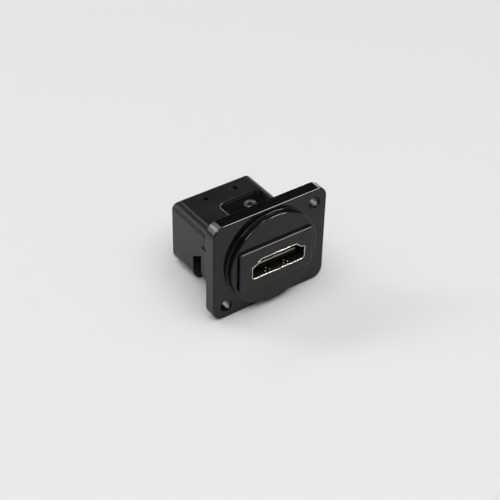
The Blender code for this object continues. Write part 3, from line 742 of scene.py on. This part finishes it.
lid = block("lid_tool", LID_FOOT, LID_RIGHT, HOUSING_FRONT, LID_REAR, BODY_HIGH - LID_TALL,
            BODY_HIGH)
select_corners(lid, lambda place: place.z > BODY_HIGH - 0.01)
scale_selected(((LID_RIGHT - LID_LEFT) / (LID_RIGHT - LID_FOOT), 1, 1), (LID_RIGHT, 0, 0))
scale_selected((1, 1 - LID_REAR_SLOPE / (LID_REAR - HOUSING_FRONT), 1), (0, HOUSING_FRONT, 0))
bpy.ops.object.mode_set(mode="OBJECT")
round_edges(lid, lambda a, b: min(a.z, b.z) > 4.5 and (along_y(a, b) or min(a.y, b.y) > 22),
            0.15, 3)
fuse(housing, lid)
print("housing block:", len(housing.data.polygons), "faces")

# %% [markdown]
# The cup is hollowed by one block.  Two ledges along its side walls hold the board from behind,
# and a boss under its top takes the strap's screw.

# %% Cavity, ledges and boss
CAVITY_LOW, CAVITY_HIGH = BODY_LOW + WALL, 2.68
LEDGE_WIDTH, LEDGE_FRONT, BOSS_RADIUS = 1.6, 12.85, 1.45

cut(housing, block("cavity_tool", -CAVITY_X, CAVITY_X, 9, HOUSING_REAR - WALL, CAVITY_LOW,
                   CAVITY_HIGH))
for side in (-1, 1):
    fuse(housing, block("ledge_tool", *on_side(side, CAVITY_X - LEDGE_WIDTH, CAVITY_X + 0.2),
                        LEDGE_FRONT, HOUSING_REAR - WALL + 0.2, CAVITY_LOW - 0.2,
                        CAVITY_HIGH + 0.2))
fuse(housing, upright_cylinder("boss_tool", SCREW_X, SCREW_Y, BOSS_RADIUS, 1.38, 2.9, 48))
print("housing cup:", len(housing.data.polygons), "faces")

# %% [markdown]
# A recess in the top takes the strap with a small gap all round.  Its mouth widens in a shallow
# rim, a thin block whose top corners are drawn out, so that the rim is widest on the left.

# %% Recess and its rim
RECESS_LEFT, RECESS_RIGHT, RECESS_FRONT, RECESS_END = -2.77, 8.97, 9, 17.17
RECESS_FLOOR, RECESS_CORNER, RECESS_STEPS = 3.38, 1.82, 10
RIM_DROP, RIM_LEFT, RIM_REAR = 0.10, 0.30, 0.06


def recess_block(name, low, high):
    """A block with the outline of the strap's recess."""
    tool = block(name, RECESS_LEFT, RECESS_RIGHT, RECESS_FRONT, RECESS_END, low, high)
    round_edges(tool, lambda a, b: upright(a, b) and a.y > 17, RECESS_CORNER, RECESS_STEPS)
    return tool


cut(housing, recess_block("recess_tool", RECESS_FLOOR, 6))
rim = recess_block("rim_tool", BODY_HIGH - RIM_DROP, BODY_HIGH + 0.01)
select_corners(rim, lambda place: place.z > BODY_HIGH)
scale_selected((1 + RIM_LEFT / (RECESS_RIGHT - RECESS_LEFT), 1, 1), (RECESS_RIGHT, 0, 0))
scale_selected((1, 1 + RIM_REAR / (RECESS_END - RECESS_FRONT), 1), (0, RECESS_FRONT, 0))
bpy.ops.object.mode_set(mode="OBJECT")
cut(housing, rim)
print("with the recess:", len(housing.data.polygons), "faces")

# %% [markdown]
# Below the middle the housing's front is cut back, first for the neck's lower part and then by a
# notch with a sloping top.  Last come the bore for the screw, two small holes through the top and
# the window for the rear receptacle.

# %% Relief, holes and the rear window
NOTCH_FRONT, NOTCH_REAR, NOTCH_TOP, NOTCH_SLOPE = 11.4, 15.0, -3.12, 2.28
VENT_MIDDLE, VENT_SPREAD, VENT_Y, VENT_RADIUS = 0.4, 4.1, HOUSING_REAR - 3.35, 0.65
REAR_PORT = (0.0, -4.2)

cut(housing, block("front_relief_tool", -13, 13, 9, 11.52, -15, -0.08))
notch = block("rear_relief_tool", -13, 13, NOTCH_FRONT, NOTCH_REAR, -15, NOTCH_TOP)
select_corners(notch, lambda place: place.z > NOTCH_TOP - 1 and place.y > NOTCH_REAR - 1)
bpy.ops.transform.translate(value=(0, 0, -NOTCH_SLOPE * MM))
bpy.ops.object.mode_set(mode="OBJECT")
cut(housing, notch)
cut(housing, upright_cylinder("boss_bore_tool", SCREW_X, SCREW_Y, SCREW_BORE, 1.7, 5, 40))
for side in (-1, 1):
    cut(housing, upright_cylinder("vent_tool", VENT_MIDDLE + side * VENT_SPREAD, VENT_Y,
                                  VENT_RADIUS, 1.6, 6, 40))
cut(housing, port_block("rear_window_tool", REAR_PORT, WINDOW_GROW, HOUSING_REAR - 2,
                        HOUSING_REAR + 1))
settle(housing, housing_black, ["rear_housing"])

# %% [markdown]
# ## The receptacle shells
#
# Each shell is sheet steel folded into the port's outline.  Four spring fingers are lanced out of
# its roof and floor and bent into the opening, where they press on the plug.  A finger is a strip
# that is extruded along its bent path and then gets the sheet's thickness, which is how a strip
# of metal behaves: one outline, the same thickness all along.

# %% A spring finger
FINGER_TIP, FINGER_ROOT, FINGER_BEND = 0.75, 5.35, 0.45
FINGER_X, FINGER_HALF, SLOT_HALF, SLOT_TIP = 2.55, 0.65, 0.95, 0.45
FINGER_PATH = (
    (FINGER_TIP, 0.1), (FINGER_TIP + 0.2, 0.5), (FINGER_TIP + 0.45, 0.85),
    (FINGER_TIP + 0.75, 1.0), (FINGER_TIP + 1.1, 0.85), (FINGER_TIP + 1.7, 0.62),
    (FINGER_ROOT - 0.3, 0.0), (FINGER_ROOT + 0.5, 0.0))


def spring_finger(name, centre_x, wall_z, side, mouth, inward):
    """A strip along the bent path of one finger."""
    points = [(mouth + inward * y, wall_z - side * share * FINGER_BEND)
              for y, share in FINGER_PATH]
    start_clean()
    bpy.ops.mesh.primitive_plane_add(size=1, location=(centre_x * MM, 0, 0))
    strip = named(name)
    by_depth = sorted(open_mesh(strip, "VERT").verts, key=lambda vert: vert.co.y)
    for index, vert in enumerate(by_depth):
        y, z = points[0] if index < 2 else points[1]
        hand = 1 if vert.co.x > centre_x * MM else -1
        vert.co = ((centre_x + hand * FINGER_HALF) * MM, y * MM, z * MM)
    for vert in by_depth[2:]:
        vert.select_set(True)
    bmesh.update_edit_mesh(strip.data)
    for (y0, z0), (y1, z1) in zip(points[1:], points[2:]):
        bpy.ops.mesh.extrude_edges_move(
            TRANSFORM_OT_translate={"value": (0, (y1 - y0) * MM, (z1 - z0) * MM)})
    bpy.ops.object.mode_set(mode="OBJECT")
    thick = strip.modifiers.new("sheet", "SOLIDIFY")
    thick.thickness = (SHEET - 0.02) * MM
    thick.offset = 0
    take(strip)
    bpy.ops.object.modifier_apply(modifier=thick.name)
    return strip


print("points along a finger:", len(FINGER_PATH))

# %% [markdown]
# The sleeve itself is a block with the outer outline, with the inner outline cut through it.  Its
# lip at the mouth is rounded so that it catches the light all the way round, and two legs at its
# other end go through the board.

# %% Shells with their fingers
FRONT_MOUTH, REAR_MOUTH = -2.65, HOUSING_REAR + 0.1
LEG_HALF, LEG_ABOVE_FLOOR, LEG_TALL = 0.08, 0.7, 1.4


def wall_level(z, side):
    """Middle of the sheet in the roof (side 1) or the floor (side -1)."""
    return z + (PORT_ROOF + SHEET / 2 if side > 0 else PORT_FLOOR - SHEET / 2)


def join(first, others):
    """Join some pieces into the first one."""
    take(first)
    for piece in others:
        piece.select_set(True)
    bpy.ops.object.join()


def receptacle_shell(name, node, centre, mouth, back, tail):
    """The folded sleeve, its lip, four fingers and two legs."""
    inward = 1 if back > mouth else -1
    front, rear = sorted((mouth, back))
    shell = port_block(name, centre, SHEET, front, rear)
    cut(shell, port_block("shell_hollow_tool", centre, 0.0, front - 1, rear + 1))
    round_edges(shell, in_plane_y(mouth), 0.05, 3)
    x, z = centre
    fingers = []
    for side in (-1, 1):
        wall = wall_level(z, side)
        for hand in (-1, 1):
            middle = x + hand * FINGER_X
            ends = sorted((mouth + inward * SLOT_TIP, mouth + inward * FINGER_ROOT))
            cut(shell, block("slot_tool", middle - SLOT_HALF, middle + SLOT_HALF, *ends,
                             wall - 0.4, wall + 0.4))
            fingers.append(spring_finger("finger_tool", middle, wall, side, mouth, inward))
    low = z + PORT_FLOOR + LEG_ABOVE_FLOOR
    for hand in (-1, 1):
        middle = x + hand * (PORT_HALF + SHEET / 2)
        ends = sorted((back - inward * 1, tail))
        fuse(shell, block("leg_tool", middle - LEG_HALF, middle + LEG_HALF, *ends,
                          low, low + LEG_TALL))
    join(shell, fingers)
    settle(shell, nickel, [node])


receptacle_shell("front_shell_sheet", "front_shell", FRONT_PORT, FRONT_MOUTH, 11.35, 13.1)
receptacle_shell("rear_shell_sheet", "rear_shell", REAR_PORT, REAR_MOUTH, 12.85, 11.1)

# %% [markdown]
# Every finger carries a pressed dimple on its crest and two turned-up corners at its free end.
# They are the small dots of light in the dark of the port.  The dimples lie deeper in and get a
# painted shade that makes them darker than the corners.  Low domes of a sphere are enough for
# both, since they are only seen as dots.

# %% Dimples and corners of the fingers
DIMPLE_IN, DIMPLE_RADIUS, DIMPLE_HEIGHT = 1.6, 0.30, 0.14
CORNER_IN, CORNER_X, CORNER_BEND, CORNER_RADIUS = 0.92, 0.60, 0.19, 0.15


def dome(name, x, y, z, radius, height):
    """A flattened sphere, in millimetres."""
    start_clean()
    bpy.ops.mesh.primitive_uv_sphere_add(segments=20, ring_count=12, radius=1,
                                         location=(x * MM, y * MM, z * MM),
                                         scale=(radius * MM, radius * MM, height * MM))
    return named(name)


def finger_dots(name, centre, mouth, inward):
    """Eight corners and four dimples of one receptacle, as one piece."""
    x, z = centre
    dots = []
    for side in (-1, 1):
        wall = wall_level(z, side)
        for hand in (-1, 1):
            middle = x + hand * FINGER_X
            dots.append(dome("dimple_tool", middle, mouth + inward * DIMPLE_IN,
                             wall - side * FINGER_BEND, DIMPLE_RADIUS, DIMPLE_HEIGHT))
            for turn in (-1, 1):
                dots.append(dome("corner_tool", middle + turn * CORNER_X,
                                 mouth + inward * CORNER_IN, wall - side * CORNER_BEND,
                                 CORNER_RADIUS, CORNER_RADIUS))
    join(dots[0], dots[1:])
    dots[0].name = name
    settle(dots[0], polished, [])


finger_dots("front_finger_dots", FRONT_PORT, FRONT_MOUTH, 1)
finger_dots("rear_finger_dots", REAR_PORT, REAR_MOUTH, -1)

# %% [markdown]
# ## The screw
#
# A small pan-head screw holds the strap to the housing.  Its domed head is a cylinder with a
# rounded rim.  A six-sided socket is sunk into it, and the socket's mouth is chamfered into a
# funnel, as it is on a real screw, so that the key finds its way in.

# %% Strap screw
SCREW_SEAT, SCREW_TOP, HEAD_RADIUS, SHANK_RADIUS = 4.3, 4.85, 1.6, 0.75
SOCKET_RADIUS, SOCKET_FLOOR, FUNNEL = 0.78, 4.36, 0.30


def socket_mouth(first, second):
    """The edges where the socket meets the head's flat top."""
    return in_plane_z(SCREW_TOP)(first, second) and all(
        math.hypot(end.x - SCREW_X, end.y - SCREW_Y) < 0.9 for end in (first, second))


screw = upright_cylinder("strap_screw_steel", SCREW_X, SCREW_Y, HEAD_RADIUS, SCREW_SEAT,
                         SCREW_TOP, 64)
round_edges(screw, in_plane_z(SCREW_TOP), 0.4, 7)
fuse(screw, upright_cylinder("shank_tool", SCREW_X, SCREW_Y, SHANK_RADIUS, 1.8, 4.4, 40))
cut(screw, upright_cylinder("socket_tool", SCREW_X, SCREW_Y, SOCKET_RADIUS, SOCKET_FLOOR, 6, 6))
round_edges(screw, socket_mouth, FUNNEL, 1)
settle(screw, screw_steel, ["strap_screw"])

# %% [markdown]
# ## Table
#
# The object stands on a pale table, as in a product photograph.  A wide plane just under the
# lowest edge is enough: its far edges are out of the picture.  The white is a little below full
# white, and rough, so that it carries a soft shadow and hardly any shine.

# %% Table
TABLE_SIZE, TABLE_DROP = 12, 0.00002

start_clean()
bpy.ops.mesh.primitive_plane_add(size=TABLE_SIZE, location=(0, 0, -TABLE_DROP))
table = bpy.context.object
table.name = "table"
table_white, _, table_shader = node_material("table_white")
table_shader.inputs["Base Color"].default_value = (0.80, 0.80, 0.80, 1)
table_shader.inputs["Roughness"].default_value = 0.75
table_shader.inputs["Specular IOR Level"].default_value = 0.2
table.data.materials.append(table_white)
print("table of", TABLE_SIZE, "m")

# %% [markdown]
# ## Light
#
# The black skin shows little but reflections, so the light is arranged for what it reflects.  The
# bright table gives the upright faces their grey.  A wide soft box overhead lights the table and
# makes the soft shadow.  Three narrow strips stand behind the object, on an arc from above it to
# its left, and draw the highlight on the rounded upper left corner of the flange.  Three more
# boxes stand high in front to the right, high in front to the left, and low behind to the right.
# They give highlights only, so they leave the table and the plain colours as they are.

# %% Lamps
OVERHEAD_TOWARDS, OVERHEAD_SIZE, OVERHEAD = (-0.05, -0.25, 1.0), (1.5, 1.2), 2.2
STRIP_SIZE, STRIP_RING, STRIP_BACK = (0.43, 0.10), 0.771, 0.637
BACK_STRIPS = ((95, 4.2), (127, 12.0), (159, 4.2))
GLOSS_BOXES = (
    ("front_box", (0.56, -0.31, 0.77), (0, 0.77, 0.31), 0.42, 0.62, 27.0),
    ("left_box", (-0.60, -0.34, 0.72), (0, 0.72, 0.34), 0.28, 0.28, 22.0),
    ("right_strip", (0.75, 0.637, 0.19), (0, 0.0, 1.0), 0.30, 0.12, 3.5),
)


def soft_box(name, towards, along, length, width, radiance):
    """A panel one metre away, given by its direction, its long axis and how bright it looks."""
    lamp = bpy.data.lights.new(name, "AREA")
    lamp.shape = "RECTANGLE"
    lamp.size = length
    lamp.size_y = width
    lamp.energy = radiance * math.pi * length * width
    holder = bpy.data.objects.new(name, lamp)
    bpy.context.scene.collection.objects.link(holder)
    back = Vector(towards).normalized()
    side = Vector(along)
    side = (side - back * side.dot(back)).normalized()
    turned = Matrix((side, back.cross(side), back)).transposed().to_4x4()
    holder.matrix_world = Matrix.Translation(back) @ turned
    return holder


soft_box("overhead_box", OVERHEAD_TOWARDS, (1, 0, 0), *OVERHEAD_SIZE, OVERHEAD)
for index, (angle, radiance) in enumerate(BACK_STRIPS):
    turn = math.radians(angle)
    soft_box(f"back_strip_{index}",
             (STRIP_RING * math.cos(turn), STRIP_BACK, STRIP_RING * math.sin(turn)),
             (-math.sin(turn), 0, math.cos(turn)), *STRIP_SIZE, radiance)
for settings in GLOSS_BOXES:
    soft_box(*settings).visible_diffuse = False
print("lamps:", 1 + len(BACK_STRIPS), "soft boxes and", len(GLOSS_BOXES), "highlight boxes")

# %% [markdown]
# The room around the table is grey at the horizon and nearly black above it, because whatever
# stands above the object is what its top faces mirror, and they have to stay dark.

# %% Room
HORIZON, ABOVE = (0.12, 0.50), (0.45, 0.04)

world = bpy.data.worlds.new("room")
bpy.context.scene.world = world
world.use_nodes = True
room = world.node_tree
direction = room.nodes.new("ShaderNodeTexCoord").outputs["Generated"]
height = room.nodes.new("ShaderNodeValToRGB")
for element, (position, grey) in zip(height.color_ramp.elements, (HORIZON, ABOVE)):
    element.position = position
    element.color = (grey, grey, grey, 1)
room.links.new(split(room, direction)["Z"], height.inputs["Fac"])
room.links.new(height.outputs["Color"], room.nodes["Background"].inputs["Color"])
room.nodes["Background"].inputs["Strength"].default_value = 1.0
print("room: grey", HORIZON[1], "at the horizon,", ABOVE[1], "above")

# %% [markdown]
# ## Camera
#
# The camera stands to the front left, well above the table.  Its place was measured from the
# object's outline in the photograph: the turn about the upright, the height angle, a small roll,
# and the focal length in pixels of a picture 500 wide.  The distance then follows from the scale
# at the middle of the flange's front face, and the aim from where that point lies in the picture.

# %% Camera
AZIMUTH, ELEVATION, ROLL = (math.radians(angle) for angle in (-36.135, 37.944, 1.278))
FOCAL, PICTURE, SENSOR = 1259.71, 500.0, 36
CENTRE_U, CENTRE_V, SCALE = 270.382, 254.138, 4.42

back = Vector((math.sin(AZIMUTH) * math.cos(ELEVATION), -math.cos(AZIMUTH) * math.cos(ELEVATION),
               math.sin(ELEVATION)))
right = Vector((0, 0, 1)).cross(back).normalized()
up = back.cross(right)
rolled_right = right * math.cos(ROLL) + up * math.sin(ROLL)
rolled_up = up * math.cos(ROLL) - right * math.sin(ROLL)
distance = FOCAL / SCALE * MM
aim_x = (CENTRE_U - PICTURE / 2) / FOCAL * distance
aim_y = -(CENTRE_V - PICTURE / 2) / FOCAL * distance
spot = back * distance - rolled_right * aim_x - rolled_up * aim_y + SHIFT

lens = bpy.data.cameras.new("camera")
lens.sensor_width = SENSOR
lens.lens = FOCAL / PICTURE * SENSOR
lens.clip_start = 0.01
camera = bpy.data.objects.new("camera", lens)
bpy.context.scene.collection.objects.link(camera)
camera.matrix_world = Matrix((
    (rolled_right.x, rolled_up.x, back.x, spot.x),
    (rolled_right.y, rolled_up.y, back.y, spot.y),
    (rolled_right.z, rolled_up.z, back.z, spot.z),
    (0, 0, 0, 1)))
bpy.context.scene.camera = camera
bpy.context.scene.view_settings.view_transform = "Standard"
print("camera at", [round(value, 3) for value in spot])
